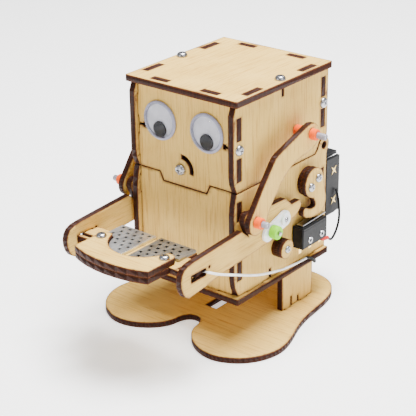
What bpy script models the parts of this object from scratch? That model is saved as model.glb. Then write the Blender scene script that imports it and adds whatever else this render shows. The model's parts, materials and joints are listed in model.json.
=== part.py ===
"""A coin-eating robot bank from a laser-cut plywood kit.

Two swinging arms carry a tray.  A motor turns a hooked cam that pushes the tail of
the right arm down, so the tray rises, and two links push the head open at its rear
hinge.  Lengths here are in millimetres.  X is across the robot (the switch and cam
side is +X), the robot faces -Y, and the floor is Z = 0.
"""

import math

import bpy
from mathutils import Matrix, Vector

MM = 0.001

# ---- driving dimensions ------------------------------------------------------
PLY = 3.0  # every plywood sheet
GAP = 0.15  # air between glued or slotted sheets
TOP_Z = 120.0  # overall height
PLATE_X, PLATE_Y = 64.0, 72.0  # top plate and bottom plate
SIDE_OUT = 30.0  # outer face of the side panels
SIDE_IN = SIDE_OUT - PLY
WALL_Y = 32.0  # middle of the front and rear panels
EDGE_Y = 35.9  # front and rear edges of the side panels
FLOOR_Z = 25.0  # top face of the bottom plate
SEAM_Z = 76.0  # top of the body, under the head
HINGE = (33.7, 78.5)  # head hinge, (y, z)
AXLE = (-16.2, 53.7)  # arm axle
ARM_PIN = (-31.5, 64.4)  # link's lower pivot, on the arm
HEAD_PIN = (9.8, 93.6)  # link's upper pivot, on the head
CAM = (18.7, 65.5)  # motor shaft
STOP = (-3.4, 39.5)  # drum that stops the arms' lift
SWITCH_Y, SWITCH_Z = 8.2, 34.5  # front and underside of the lever switch
LEVER = (10.4, 46.1)  # pivot of the switch lever
ARM_IN, ARM_OUT = 32.0, 35.0
LINK_IN, LINK_OUT = 36.0, 39.0
TRAY_Z = 49.5  # underside of the tray
EYE_X, EYE_Z = 13.6, 101.2
TAB_Y = (15.0, 26.2)  # tabs of the side panels
TAB_X = (9.7, 19.0)  # tabs of the front and rear panels

COLOURS = {
    "ply": ((0.80, 0.66, 0.42, 1), 0.6, 0),
    "steel": ((0.62, 0.62, 0.64, 1), 0.3, 1),
    "orange": ((1.0, 0.22, 0.02, 1), 0.35, 0),
    "green": ((0.45, 0.85, 0.05, 1), 0.35, 0),
    "black": ((0.02, 0.02, 0.022, 1), 0.5, 0),
    "clear": ((0.80, 0.82, 0.84, 1), 0.2, 0),
    "white": ((0.86, 0.86, 0.84, 1), 0.4, 0),
    "red": ((0.6, 0.03, 0.02, 1), 0.4, 0),
}


# ---- helpers -----------------------------------------------------------------
def clear_scene():
    for old in list(bpy.data.objects):
        bpy.data.objects.remove(old)


def finish(obj, name, colour):
    """Name an object and give it a material of its own."""
    obj.name = name
    rgba, rough, metal = COLOURS[colour]
    mat = bpy.data.materials.new(name + "_mat")
    mat.use_nodes = True
    shader = mat.node_tree.nodes["Principled BSDF"]
    shader.inputs["Base Color"].default_value = rgba
    shader.inputs["Roughness"].default_value = rough
    shader.inputs["Metallic"].default_value = metal
    obj.data.materials.append(mat)
    return obj


def circle(a, b, r, n=24):
    """Points of a circle round (a, b)."""
    turn = [2 * math.pi * i / n for i in range(n)]
    return [(a + r * math.cos(t), b + r * math.sin(t)) for t in turn]


def arc(a, b, r, first, last, n=8):
    """Points of an arc, angles in degrees."""
    turn = [math.radians(first + (last - first) * i / n) for i in range(n + 1)]
    return [(a + r * math.cos(t), b + r * math.sin(t)) for t in turn]


def box(a0, a1, b0, b1):
    return [(a0, b0), (a1, b0), (a1, b1), (a0, b1)]


def smooth(points, steps=4):
    """A closed Catmull-Rom curve through points."""
    out = []
    n = len(points)
    for i in range(n):
        p = [Vector(points[(i + k) % n]) for k in (-1, 0, 1, 2)]
        for s in range(steps):
            t = s / steps
            a = 2 * p[1] + (p[2] - p[0]) * t
            b = (2 * p[0] - 5 * p[1] + 4 * p[2] - p[3]) * t * t
            c = (3 * p[1] - p[0] - 3 * p[2] + p[3]) * t ** 3
            out.append(tuple((a + b + c) * 0.5))
    return out


def rounded(corners, n=4):
    """An outline whose corners (a, b, radius) are rounded."""
    out = []
    count = len(corners)
    for i, (a, b, r) in enumerate(corners):
        here = Vector((a, b))
        if r <= 0:
            out.append((a, b))
            continue
        before = (Vector(corners[i - 1][:2]) - here).normalized()
        after = (Vector(corners[(i + 1) % count][:2]) - here).normalized()
        half = before.angle(after) / 2
        reach = r / math.tan(half)
        centre = here + (before + after).normalized() * (r / math.sin(half))
        start = here + before * reach - centre
        swing = start.angle_signed(here + after * reach - centre)
        for k in range(n + 1):
            turn = Matrix.Rotation(-swing * k / n, 2)
            out.append(tuple(centre + turn @ start))
    return out


def plate(name, outline, holes, axis, low, high, colour="ply", pivot=None):
    """A flat sheet cut to an outline, standing across an axis from low to high.

    Outline points are (y, z) across X, (x, z) across Y and (x, y) across Z.
    """
    curve = bpy.data.curves.new(name, "CURVE")
    curve.dimensions = "2D"
    curve.fill_mode = "BOTH"
    curve.extrude = (high - low) / 2 * MM
    middle = (low + high) / 2 * MM
    turn = {
        "X": Matrix(((0, 0, 1), (1, 0, 0), (0, 1, 0))),
        "Y": Matrix(((1, 0, 0), (0, 0, -1), (0, 1, 0))),
        "Z": Matrix.Identity(3),
    }[axis]
    start = {
        "X": Vector((middle, 0, 0)),
        "Y": Vector((0, middle, 0)),
        "Z": Vector((0, 0, middle)),
    }[axis]
    off = (0.0, 0.0)
    if pivot:
        off = pivot
        start = start + turn @ Vector((pivot[0] * MM, pivot[1] * MM, 0))
    for loop in [outline] + list(holes):
        spline = curve.splines.new("POLY")
        spline.points.add(len(loop) - 1)
        for point, (a, b) in zip(spline.points, loop):
            point.co = ((a - off[0]) * MM, (b - off[1]) * MM, 0, 1)
        spline.use_cyclic_u = True
    obj = bpy.data.objects.new(name, curve)
    obj.matrix_world = Matrix.Translation(start) @ turn.to_4x4()
    bpy.context.collection.objects.link(obj)
    return finish(obj, name, colour)


def turned(name, profile, centre, axis="X", colour="steel", n=24, start=0.0):
    """A round piece.  profile is (distance along the axis, radius) from end to end.

    A first and last radius of 0 close the ends; otherwise the profile is a closed
    loop that leaves a hole.
    """
    frame = {
        "X": (Vector((1, 0, 0)), Vector((0, 1, 0)), Vector((0, 0, 1))),
        "Y": (Vector((0, 1, 0)), Vector((0, 0, 1)), Vector((1, 0, 0))),
        "Z": (Vector((0, 0, 1)), Vector((1, 0, 0)), Vector((0, 1, 0))),
    }[axis]
    origin = Vector(centre) * MM
    verts, rings = [], []
    for along, radius in profile:
        if radius == 0:
            verts.append(frame[0] * along * MM)
            rings.append([len(verts) - 1] * n)
            continue
        ring = []
        for k in range(n):
            t = start + 2 * math.pi * k / n
            side = frame[1] * math.cos(t) + frame[2] * math.sin(t)
            verts.append((frame[0] * along + side * radius) * MM)
            ring.append(len(verts) - 1)
        rings.append(ring)
    closed = profile[0][1] != 0
    faces = []
    for i in range(len(rings) - (0 if closed else 1)):
        lower, upper = rings[i], rings[(i + 1) % len(rings)]
        for k in range(n):
            j = (k + 1) % n
            face = []
            for v in (lower[k], lower[j], upper[j], upper[k]):
                if v not in face:
                    face.append(v)
            faces.append(face)
    mesh = bpy.data.meshes.new(name)
    mesh.from_pydata([tuple(v) for v in verts], [], faces)
    obj = bpy.data.objects.new(name, mesh)
    obj.location = origin
    bpy.context.collection.objects.link(obj)
    return finish(obj, name, colour)


def screw(name, centre, axis, outward, head_r, head_h, shank_r, shank, colour="steel"):
    """A pan-head screw whose head stands outward from centre."""
    s = outward
    profile = [
        (-s * shank, 0),
        (-s * shank, shank_r),
        (0, shank_r),
        (0, head_r),
        (s * head_h * 0.55, head_r),
        (s * head_h * 0.9, head_r * 0.72),
        (s * head_h, head_r * 0.3),
        (s * head_h, 0),
    ]
    if s < 0:
        profile.reverse()
    return turned(name, profile, centre, axis, colour, n=16)


def block(name, x, y, z, colour, bevel=0.0):
    """A box between two values on each axis."""
    size = Vector((x[1] - x[0], y[1] - y[0], z[1] - z[0])) * MM
    mid = Vector((x[0] + x[1], y[0] + y[1], z[0] + z[1])) / 2 * MM
    signs = [(-1, -1), (1, -1), (1, 1), (-1, 1)]
    verts = [(a * size.x / 2, b * size.y / 2, c * size.z / 2) for c in (-1, 1) for a, b in signs]
    faces = [(3, 2, 1, 0), (4, 5, 6, 7)] + [(k, (k + 1) % 4, (k + 1) % 4 + 4, k + 4) for k in range(4)]
    mesh = bpy.data.meshes.new(name)
    mesh.from_pydata(verts, [], faces)
    obj = bpy.data.objects.new(name, mesh)
    obj.location = mid
    bpy.context.collection.objects.link(obj)
    if bevel:
        mod = obj.modifiers.new("edges", "BEVEL")
        mod.width = bevel * MM
        mod.segments = 2
    return finish(obj, name, colour)


def wire(name, points, radius, colour):
    """A round wire along a smooth curve through points."""
    p = [Vector(q) for q in points]
    p = [2 * p[0] - p[1]] + p + [2 * p[-1] - p[-2]]
    path = []
    for i in range(1, len(p) - 2):
        for s in range(6):
            t = s / 6
            a = 2 * p[i] + (p[i + 1] - p[i - 1]) * t
            b = (2 * p[i - 1] - 5 * p[i] + 4 * p[i + 1] - p[i + 2]) * t * t
            c = (3 * p[i] - p[i - 1] - 3 * p[i + 1] + p[i + 2]) * t ** 3
            path.append((a + b + c) * 0.5)
    path.append(p[-2])
    curve = bpy.data.curves.new(name, "CURVE")
    curve.dimensions = "3D"
    curve.bevel_depth = radius * MM
    curve.bevel_resolution = 2
    curve.use_fill_caps = True
    spline = curve.splines.new("POLY")
    spline.points.add(len(path) - 1)
    for point, q in zip(spline.points, path):
        point.co = (q.x * MM, q.y * MM, q.z * MM, 1)
    obj = bpy.data.objects.new(name, curve)
    bpy.context.collection.objects.link(obj)
    return finish(obj, name, colour)


# ---- base and body -----------------------------------------------------------
def slit(a, b, toward, depth):
    """A narrow screw slot cut into an edge at (a, b), running in +a along the edge."""
    s = toward * depth
    return [(a - 0.75, b), (a - 0.75, b + s), (a + 0.75, b + s), (a + 0.75, b)]


def make_base():
    half = [
        (0.0, -27.2), (3.4, -28.4), (5.6, -32.2), (6.6, -37.4), (9.2, -42.2), (13.4, -46.4),
        (18.6, -49.6), (24.6, -51.4), (31.0, -51.3), (37.0, -49.0), (42.6, -45.0),
        (47.2, -38.8), (49.8, -31.4), (50.0, -24.0), (47.8, -15.2), (44.0, -4.6),
        (41.6, 5.6), (40.4, 15.6), (39.2, 24.8), (36.6, 33.4), (31.6, 40.2), (24.6, 44.0),
        (16.0, 45.2), (8.0, 45.4), (0.0, 45.4),
    ]
    outline = half + [(-x, y) for x, y in reversed(half[1:-1])]
    holes = [box(-3.3, 3.3, -16.0, -3.2)]
    for s in (-1, 1):
        holes.append(box(s * 28.5 - 1.6, s * 28.5 + 1.6, 2.9, 8.2))
        holes.append(box(s * 28.5 - 1.6, s * 28.5 + 1.6, 16.2, 21.5))
    plate("foot_base", smooth(outline, 3), holes, "Z", 0, PLY)
    for side, s in (("left", -1), ("right", 1)):
        outline = [(1.2, PLY + GAP), (3.1, PLY + GAP), (3.1, 0.2), (8.0, 0.2), (8.0, 8.2)]
        outline += [(8.9, 8.2), (8.9, PLY + GAP), (13.6, PLY + GAP), (13.6, 6.6), (14.4, 6.6)]
        outline += [(14.4, PLY + GAP)]
        outline += [(16.4, PLY + GAP), (16.4, 0.2), (21.3, 0.2), (21.3, PLY + GAP)]
        outline += [(25.8, PLY + GAP), (25.8, 22 - GAP), (1.2, 22 - GAP)]
        plate("leg_" + side, outline, [], "X", s * 28.5 - PLY / 2, s * 28.5 + PLY / 2)


def plate_slots():
    """Slots that the panels' tabs fill in the top and bottom plates."""
    holes = []
    for s in (-1, 1):
        for t in (-1, 1):
            y0, y1 = sorted((t * (TAB_Y[0] - 0.2), t * (TAB_Y[1] + 0.2)))
            holes.append(box(s * 28.5 - 1.7, s * 28.5 + 1.7, y0, y1))
            x0, x1 = sorted((s * (TAB_X[0] - 0.2), s * (TAB_X[1] + 0.2)))
            holes.append(box(x0, x1, t * WALL_Y - 1.7, t * WALL_Y + 1.7))
    return holes


def top_holes():
    return plate_slots() + [circle(s * 28.5, 0, 1.0, 12) for s in (-1, 1)]


def plate_outline():
    x, y = PLATE_X / 2, PLATE_Y / 2
    return rounded([(-x, -y, 0.5), (x, -y, 0.5), (x, y, 0.5), (-x, y, 0.5)], 2)


def tabs_down(z, depth, spans):
    """Part of an outline that runs in +a with tabs below level z."""
    out = []
    for a0, a1 in spans:
        out += [(a0, z), (a0, z - depth), (a1, z - depth), (a1, z)]
    return out


def make_body():
    plate("bottom_plate", plate_outline(), plate_slots(), "Z", FLOOR_Z - PLY, FLOOR_Z)
    low = FLOOR_Z + GAP
    # side panels, with the hinge lug at the upper rear
    hy, hz = HINGE
    bottom = [(-32.8, low)]
    bottom += tabs_down(low, 2.9, [(-TAB_Y[1], -TAB_Y[0])])
    bottom += slit(-8.9, low, 1, 4.8)
    bottom += tabs_down(low, 2.9, [(TAB_Y[0], TAB_Y[1])])
    outline = bottom + [(EDGE_Y, low), (EDGE_Y, 73.6)]
    outline += arc(hy, hz, 4.2, -48, 150, 14)
    outline += [(28.6, SEAM_Z + 1.8), (26.6, SEAM_Z)]
    outline += [(-34.0, SEAM_Z), (-35.4, 70.0), (-EDGE_Y, 66.0), (-EDGE_Y, 34.5), (-35.2, 30.0)]
    holes = [circle(hy, hz, 1.9, 16), circle(AXLE[0], AXLE[1], 1.25, 16)]
    for z0, z1 in ((33.0, 42.2), (62.5, 71.6)):
        holes.append(box(-WALL_Y - 1.7, -WALL_Y + 1.7, z0, z1))
    for z0, z1 in ((32.0, 42.0), (54.0, 67.2)):
        holes.append(box(WALL_Y - 1.7, WALL_Y + 1.7, z0, z1))
    for side, s in (("left", -1), ("right", 1)):
        cut = list(holes)
        if s > 0:
            cut.append(circle(CAM[0], CAM[1], 2.2, 16))
        plate("body_side_" + side, outline, cut, "X", s * 28.5 - PLY / 2, s * 28.5 + PLY / 2)
    # front panel: the mouth's lower lip, with a notch for the head's tab
    x = SIDE_IN - GAP
    edge_out = SIDE_OUT - 0.1
    right = [(x, low), (x, 33.2), (edge_out, 33.2), (edge_out, 42.0), (x, 42.0)]
    right += [(x, 62.7), (edge_out, 62.7), (edge_out, 71.4), (x, 71.4), (x, SEAM_Z)]
    top = [(14.9, SEAM_Z), (12.9, 71.7)]
    bottom = tabs_down(low, 2.9, [(-TAB_X[1], -TAB_X[0])]) + tabs_down(low, 2.9, [TAB_X])
    outline = bottom + right + top + [(-a, b) for a, b in reversed(top)]
    outline += [(-a, b) for a, b in reversed(right)]
    plate("body_front_panel", outline, [], "Y", -WALL_Y - PLY / 2, -WALL_Y + PLY / 2)
    right = [(x, low), (x, 32.2), (edge_out, 32.2), (edge_out, 41.8), (x, 41.8)]
    right += [(x, 54.2), (edge_out, 54.2), (edge_out, 67.0), (x, 67.0), (x, 73.0)]
    outline = bottom + right + [(-a, b) for a, b in reversed(right)]
    holes = [circle(-20, 69.5, 2.2, 12), circle(20, 69.5, 2.2, 12)]
    plate("body_rear_panel", outline, holes, "Y", WALL_Y - PLY / 2, WALL_Y + PLY / 2)
    for side, s in (("left", -1), ("right", 1)):
        x0, x1 = sorted((s * (SIDE_OUT + GAP), s * (SIDE_OUT + 6.0)))
        ring = circle(STOP[0], STOP[1], 4.75, 28)
        plate("lift_stop_" + side, ring, [], "X", x0, x1)
    # steel rods: the arms' axle and the head's hinge pin
    reach = 41.6
    rod = [(-reach, 0), (-reach, 1.05), (reach, 1.05), (reach, 0)]
    turned("arm_axle", rod, (0, *AXLE), n=16)
    reach = 28.2
    rod = [(-reach, 0), (-reach, 1.6), (reach, 1.6), (reach, 0)]
    turned("hinge_pin", rod, (0, *HINGE), n=16)


def make_power():
    """Battery holder, cells, gear motor, switch body."""
    # an open tray seen from behind, with a step that fits between the side panels
    z0, z1, y0, y1, x1 = 37.9, 70.5, 36.1, 50.8, 29.0
    shell = bpy.data.meshes.new("battery_holder")
    rings = [
        (26.0, z0 + 1.0, z1 - 1.0, 33.7), (26.0, z0 + 1.0, z1 - 1.0, y0), (x1, z0, z1, y0),
        (x1, z0, z1, y1 - 1.6), (x1 - 0.6, z0 + 0.6, z1 - 0.6, y1),
        (x1 - 1.6, z0 + 1.4, z1 - 1.4, y1), (x1 - 1.6, z0 + 1.4, z1 - 1.4, y0 + 1.5),
    ]
    verts = [(a * MM, y * MM, b * MM) for x, low, high, y in rings for a, b in box(-x, x, low, high)]
    faces = [(0, 1, 2, 3)]
    for k in range(0, 4 * len(rings) - 4, 4):
        for i in range(4):
            j = (i + 1) % 4
            faces.append((k + i, k + i + 4, k + j + 4, k + j))
    last = len(verts)
    faces.append((last - 1, last - 2, last - 3, last - 4))
    shell.from_pydata(verts, [], faces)
    obj = bpy.data.objects.new("battery_holder", shell)
    bpy.context.collection.objects.link(obj)
    finish(obj, "battery_holder", "black")
    for number, z in ((1, 46.35), (2, 62.05)):
        cell = [(-25.2, 0), (-25.2, 6.3), (-24.5, 6.9), (23.4, 6.9), (24.0, 6.3), (24.0, 2.8)]
        cell += [(25.3, 2.6), (25.3, 0)]
        if number == 2:
            cell = [(-a, r) for a, r in reversed(cell)]
        turned("battery_%d" % number, cell, (0, 44.7, z), colour="green", n=24)
    y, z = CAM
    block("motor_gearbox", (17.4, 26.7), (y - 6, y + 6), (z - 5, z + 5), "steel")
    can = [(2.4, 0), (2.4, 4.6), (3.2, 5.0), (17.2, 5.0), (17.2, 0)]
    turned("motor_can", can, (0, y, z), n=20)
    y0, y1 = SWITCH_Y, SWITCH_Y + 20.0
    z0, z1 = SWITCH_Z, SWITCH_Z + 11.0
    switch = rounded([(y0, z0, 0.6), (y1, z0, 0.6), (y1, z1, 0.6), (y0, z1, 0.6)], 2)
    holes = [circle(y0 + 6.2, z0 + 3.2, 1.2, 12), circle(y0 + 15.7, z0 + 3.2, 1.2, 12)]
    plate("micro_switch", switch, holes, "X", 30.2, 36.6, "black")


# ---- head --------------------------------------------------------------------
def make_head():
    plate("head_top_plate", plate_outline(), top_holes(), "Z", TOP_Z - PLY, TOP_Z)
    under = TOP_Z - PLY - GAP
    tab = TOP_Z - 0.1
    hy, hz = HINGE
    # side panels: the lower rear corner is cut round the body's hinge lug
    outline = [(-33.6, SEAM_Z + 0.4), (26.2, SEAM_Z + 0.4)]
    outline += arc(hy, hz, 5.2, 166, 68, 8)
    outline += [(EDGE_Y, 84.6), (EDGE_Y, under)]
    outline += [(TAB_Y[1], under), (TAB_Y[1], tab), (TAB_Y[0], tab), (TAB_Y[0], under)]
    outline += list(reversed(slit(0, under, -1, 4.6)))
    outline += [(-TAB_Y[0], under), (-TAB_Y[0], tab), (-TAB_Y[1], tab), (-TAB_Y[1], under)]
    outline += [(-34.2, under), (-EDGE_Y, 112.6), (-EDGE_Y, 84.0), (-35.4, 80.6)]
    holes = [circle(HEAD_PIN[0], HEAD_PIN[1], 1.2, 16)]
    for z0, z1 in ((81.4, 92.3), (100.6, 111.3)):
        holes.append(box(-WALL_Y - 1.7, -WALL_Y + 1.7, z0, z1))
    for z0, z1 in ((88.3, 97.4), (103.4, 113.0)):
        holes.append(box(WALL_Y - 1.7, WALL_Y + 1.7, z0, z1))
    for side, s in (("left", -1), ("right", 1)):
        plate("head_side_" + side, outline, holes, "X", s * 28.5 - PLY / 2, s * 28.5 + PLY / 2)
    # face: the tab below the mouth line drops into the body's notch
    x, edge_out = SIDE_IN - GAP, SIDE_OUT - 0.1
    right = [(12.5, 72.2), (14.5, SEAM_Z + 0.4), (x, SEAM_Z + 0.4)]
    right += [(x, 81.6), (edge_out, 81.6), (edge_out, 92.1), (x, 92.1)]
    right += [(x, 96.3), (23.9, 96.3), (23.9, 95.7), (22.3, 95.7), (22.3, 98.1), (23.9, 98.1)]
    right += [(23.9, 97.5), (x, 97.5)]
    right += [(x, 100.8), (edge_out, 100.8), (edge_out, 111.1), (x, 111.1), (x, under)]
    right += [(TAB_X[1], under), (TAB_X[1], tab), (TAB_X[0], tab), (TAB_X[0], under)]
    outline = right + [(-a, b) for a, b in reversed(right)]
    nose = arc(-2.1, 80.1, 7.3, -12, 88, 10) + arc(-2.1, 80.1, 5.2, 88, -12, 10)
    plate("head_face_panel", outline, [nose, circle(-2.1, 80.1, 1.2, 12)], "Y",
          -WALL_Y - PLY / 2, -WALL_Y + PLY / 2)
    right = [(x, 86.0), (x, 88.5), (edge_out, 88.5), (edge_out, 97.2), (x, 97.2)]
    right += [(x, 103.6), (edge_out, 103.6), (edge_out, 112.8), (x, 112.8), (x, under)]
    right += [(TAB_X[1], under), (TAB_X[1], tab), (TAB_X[0], tab), (TAB_X[0], under)]
    outline = right + [(-a, b) for a, b in reversed(right)]
    plate("head_rear_panel", outline, [], "Y", WALL_Y - PLY / 2, WALL_Y + PLY / 2)
    # inner brackets that carry the hinge pin
    bracket = arc(hy, hz, 4.0, -150, 60, 10)
    bracket += [(35.4, 85.2), (30.2, 85.2), (30.2, 99.0), (24.6, 99.0), (24.6, 82.0)]
    for side, s in (("left", -1), ("right", 1)):
        x0, x1 = sorted((s * 23.8, s * 26.8))
        plate("hinge_bracket_" + side, bracket, [circle(hy, hz, 1.75, 16)], "X", x0, x1)
        eye_shell("eye_" + side, s * EYE_X)
        pupil("pupil_" + side, s * EYE_X)
        top_screw = (s * 28.5, 0, TOP_Z + 0.1)
        screw("top_screw_" + side, top_screw, "Z", 1, 2.6, 1.8, 0.65, 6.8)
    screw("nose_screw", (-2.1, -WALL_Y - PLY / 2 - 0.1, 80.1), "Y", -1, 2.9, 2.0, 1.05, 6.5)


def eye_shell(name, x):
    """A domed toy eye: back disc, rim and a hollow clear dome that is open at the back."""
    y = -WALL_Y - PLY / 2 - 0.15
    profile = [(0, 9.3), (-0.7, 9.3), (-1.0, 8.7), (-2.8, 8.2), (-4.4, 6.6), (-5.4, 3.8), (-5.7, 0)]
    back = [(-5.1, 0), (-4.8, 3.5), (-3.9, 6.0), (-2.5, 7.6), (-1.1, 8.0), (0, 8.0)]
    verts, faces, rings = [], [], []
    n = 28
    for along, radius in profile + back:
        if radius == 0:
            verts.append((0, along * MM, 0))
            rings.append([len(verts) - 1] * n)
        else:
            ring = []
            for k in range(n):
                t = 2 * math.pi * k / n
                verts.append((radius * math.cos(t) * MM, along * MM, radius * math.sin(t) * MM))
                ring.append(len(verts) - 1)
            rings.append(ring)
    top = len(profile) - 1
    for i in range(len(rings)):
        if i == top:
            continue
        lower, upper = rings[i], rings[(i + 1) % len(rings)]
        for k in range(n):
            j = (k + 1) % n
            face = []
            for v in (lower[k], lower[j], upper[j], upper[k]):
                if v not in face:
                    face.append(v)
            faces.append(face)
    mesh = bpy.data.meshes.new(name)
    mesh.from_pydata(verts, [], faces)
    obj = bpy.data.objects.new(name, mesh)
    obj.location = (x * MM, y * MM, EYE_Z * MM)
    bpy.context.collection.objects.link(obj)
    return finish(obj, name, "clear")


def pupil(name, x):
    """A loose black disc that hangs at the bottom of its eye."""
    y = -WALL_Y - PLY / 2 - 0.4
    disc = circle(x, EYE_Z - 4.1, 3.7, 24)
    return plate(name, disc, [], "Y", y - 0.8, y, "black", pivot=(x, EYE_Z))


# ---- arms and tray -----------------------------------------------------------
def make_arms():
    ay, az = AXLE
    py, pz = ARM_PIN
    outline = [(-36.4, 60.4), (-52.2, 59.6), (-69.6, 58.6)]
    outline += [(-73.4, 58.1), (-76.2, 57.0), (-77.9, 54.9), (-78.6, 52.2), (-78.4, 49.4)]
    outline += [(-77.4, 46.4), (-75.8, 44.0), (-73.6, 42.7), (-71.0, 43.0), (-62.5, 43.9)]
    outline += [(-56.9, 44.7), (-41.5, 46.3), (-32.2, 46.8), (-24.8, 47.3), (-14.6, 47.9)]
    outline += [(-10.4, 49.0), (-6.4, 50.9), (-2.6, 52.2), (1.6, 52.9), (5.2, 54.4), (8.0, 56.6)]
    outline += [(8.7, 58.8), (7.2, 60.8), (1.0, 60.7), (-3.9, 65.1), (-12.7, 65.5), (-22.0, 66.2)]
    outline += arc(py, pz, 3.4, 62, 205, 8)
    outline += [(-31.4, 56.0)]
    slot = rounded([(-72.0, 49.2, 0.4), (-61.9, 49.2, 0.4), (-61.9, 52.8, 0.4), (-72.0, 52.8, 0.4)], 2)
    holes = [slot, circle(ay, az, 1.25, 16), circle(py, pz, 1.2, 16), circle(-7.3, 59.2, 0.8, 10),
             circle(-59.6, 52.4, 0.7, 10)]
    for side, s in (("left", -1), ("right", 1)):
        x0, x1 = sorted((s * ARM_IN, s * ARM_OUT))
        plate("arm_" + side, outline, holes, "X", x0, x1, pivot=AXLE)
    # the tray hangs between the arms on tabs in their slots
    wing = [(21.8, -71.0), (31.8, -71.4), (31.8, -71.6), (33.6, -71.6), (33.6, -69.6), (25.4, -69.6)]
    wing += [(25.4, -67.4), (33.6, -67.4), (33.6, -62.3), (31.8, -62.3), (31.8, -58.4), (22.2, -58.4)]
    front = [(0, -88.6), (6, -88.3), (12, -87.4), (17.4, -85.9), (21.4, -84.3)]
    right = front + wing + [(22.2, -52.4)]
    outline = right + [(-a, b) for a, b in reversed(right) if a > 0]
    holes = [circle(s * 18.6, -70.2, 1.2, 12) for s in (-1, 1)]
    plate("tray_base", outline, holes, "Z", TRAY_Z, TRAY_Z + PLY, pivot=(0, AXLE[0]))
    # crescent cover round the coin's place
    right = [(0, -88.6), (6, -88.3), (12, -87.4), (17.4, -85.9), (21.6, -84.3), (21.8, -67.2)]
    right += [(20.6, -65.6), (18.6, -64.8), (16.6, -65.0)]
    outer = right + arc(0, -61.6, 16.6, -14, -166, 20) + [(-a, b) for a, b in reversed(right) if a > 0]
    z0 = TRAY_Z + PLY + 0.1
    plate("tray_cover", outer, holes, "Z", z0, z0 + PLY, pivot=(0, AXLE[0]))
    for side, s in (("left", -1), ("right", 1)):
        inner = [(s * a, b) for a, b in [(1.5, -52.5), (21.9, -52.5), (21.9, -64.6), (17.4, -64.6)]]
        curve = [(s * a, b) for a, b in arc(0, -61.6, 16.2, -11, -84, 9)]
        shape = inner + curve
        if s < 0:
            shape = list(reversed(shape))
        plate("contact_plate_" + side, shape, [], "Z", z0, z0 + 1.4, "steel", pivot=(0, AXLE[0]))
        screw("tray_screw_" + side, (s * 18.6, -70.2, z0 + PLY + 0.1), "Z", 1, 2.5, 1.5, 1.0, 7.6)
        # axle clip and collar outside each arm
        x0, x1 = sorted((s * (ARM_OUT + 0.15), s * (ARM_OUT + 1.5)))
        horn = arc(ay - 2.4, az - 0.8, 3.6, 100, 285, 10) + arc(ay + 10.0, az + 2.5, 4.0, -75, 105, 10)
        plate("axle_clip_" + side, horn, [circle(ay, az, 1.25, 16)], "X", x0, x1, "clear",
              pivot=AXLE)
        collar = [(1.7, 1.25), (1.7, 3.2), (5.0, 3.2), (5.4, 2.8), (5.4, 1.25)]
        if s < 0:
            collar = [(-a, r) for a, r in reversed(collar)]
        turned("axle_collar_" + side, collar, (s * ARM_OUT, ay, az), colour="green", n=24)


# ---- links -------------------------------------------------------------------
def make_links():
    py, pz = ARM_PIN
    hy, hz = HEAD_PIN
    outline = arc(py + 1.1, pz - 1.0, 5.8, 145, 330, 12)
    outline += [(-23.4, 62.6), (-20.8, 68.0), (-11.6, 78.1), (-5.6, 82.2), (-1.6, 83.8), (3.4, 84.6)]
    outline += [(10.4, 85.6), (14.0, 87.2), (16.0, 89.8), (16.4, 92.8), (15.4, 95.8), (13.0, 97.8)]
    outline += [(10.0, 98.4), (6.3, 97.7), (-4.1, 94.3), (-14.6, 90.9), (-16.6, 89.9), (-18.2, 88.3)]
    outline += [(-25.9, 79.1)]
    for side, s in (("left", -1), ("right", 1)):
        x0, x1 = sorted((s * LINK_IN, s * LINK_OUT))
        holes = [circle(py, pz, 1.2, 16), circle(hy, hz, 1.35, 16)]
        plate("link_" + side, outline, holes, "X", x0, x1, pivot=ARM_PIN)
        # lower pin: fixed in the arm, with a sleeve outside the link
        low = [(32.3, 0), (32.3, 1.05), (39.3, 1.05), (39.3, 2.6), (42.6, 2.6), (42.6, 1.05)]
        low += [(45.6, 1.05), (45.6, 0)]
        # upper pin: fixed in the link, between an inner and an outer sleeve
        top = [(30.4, 0), (30.4, 2.6), (35.8, 2.6), (35.8, 1.2), (39.2, 1.2), (39.2, 2.6)]
        top += [(42.6, 2.6), (42.6, 1.05), (47.2, 1.05), (47.2, 0)]
        if s < 0:
            low = [(-a, r) for a, r in reversed(low)]
            top = [(-a, r) for a, r in reversed(top)]
        turned("link_pin_lower_" + side, low, (0, py, pz), colour="orange", n=20)
        turned("link_pin_upper_" + side, top, (0, hy, hz), colour="orange", n=20)


# ---- cam and switch lever ----------------------------------------------------
def make_cam():
    cy, cz = CAM
    shaft = [(26.8, 0), (26.8, 1.4), (30.2, 1.4), (30.2, 0)]
    turned("output_shaft", shaft, (0, cy, cz), n=20)
    plate("cam_spacer", circle(cy, cz, 7.0, 28), [], "X", 30.3, 32.2, pivot=CAM)
    outline = arc(cy, cz, 7.4, 8, 250, 20)
    outline += [(18.4, 57.6), (19.6, 55.4), (20.0, 53.9), (19.1, 53.0), (16.7, 52.9), (14.0, 53.8)]
    outline += [(11.8, 55.0), (10.4, 54.6), (9.9, 53.0), (10.2, 51.3), (12.1, 49.8), (15.5, 48.6)]
    outline += [(19.6, 48.0), (23.2, 48.1), (25.4, 48.8), (27.8, 51.0), (28.5, 53.6), (28.3, 56.6)]
    outline += [(27.2, 60.0)]
    screws = (("cam_screw_upper", cy + 3.0, cz + 1.5), ("cam_screw_lower", cy - 2.8, cz - 1.5))
    holes = [circle(y, z, 1.05, 12) for _, y, z in screws]
    plate("cam_hook", outline, holes, "X", 32.3, 35.3, pivot=CAM)
    for name, y, z in screws:
        screw(name, (35.4, y, z), "X", 1, 2.3, 1.3, 0.9, 3.0)
    # sprung strip over the switch, pivoted at its front end
    ly, lz = LEVER
    lever = arc(ly, lz, 0.35, 100, 260, 6)
    lever += [(ly + 18.2, lz + 0.55), (ly + 18.3, lz + 0.9), (ly + 18.0, lz + 0.95)]
    plate("switch_lever", lever, [], "X", 31.6, 35.2, "steel", pivot=LEVER)


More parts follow.
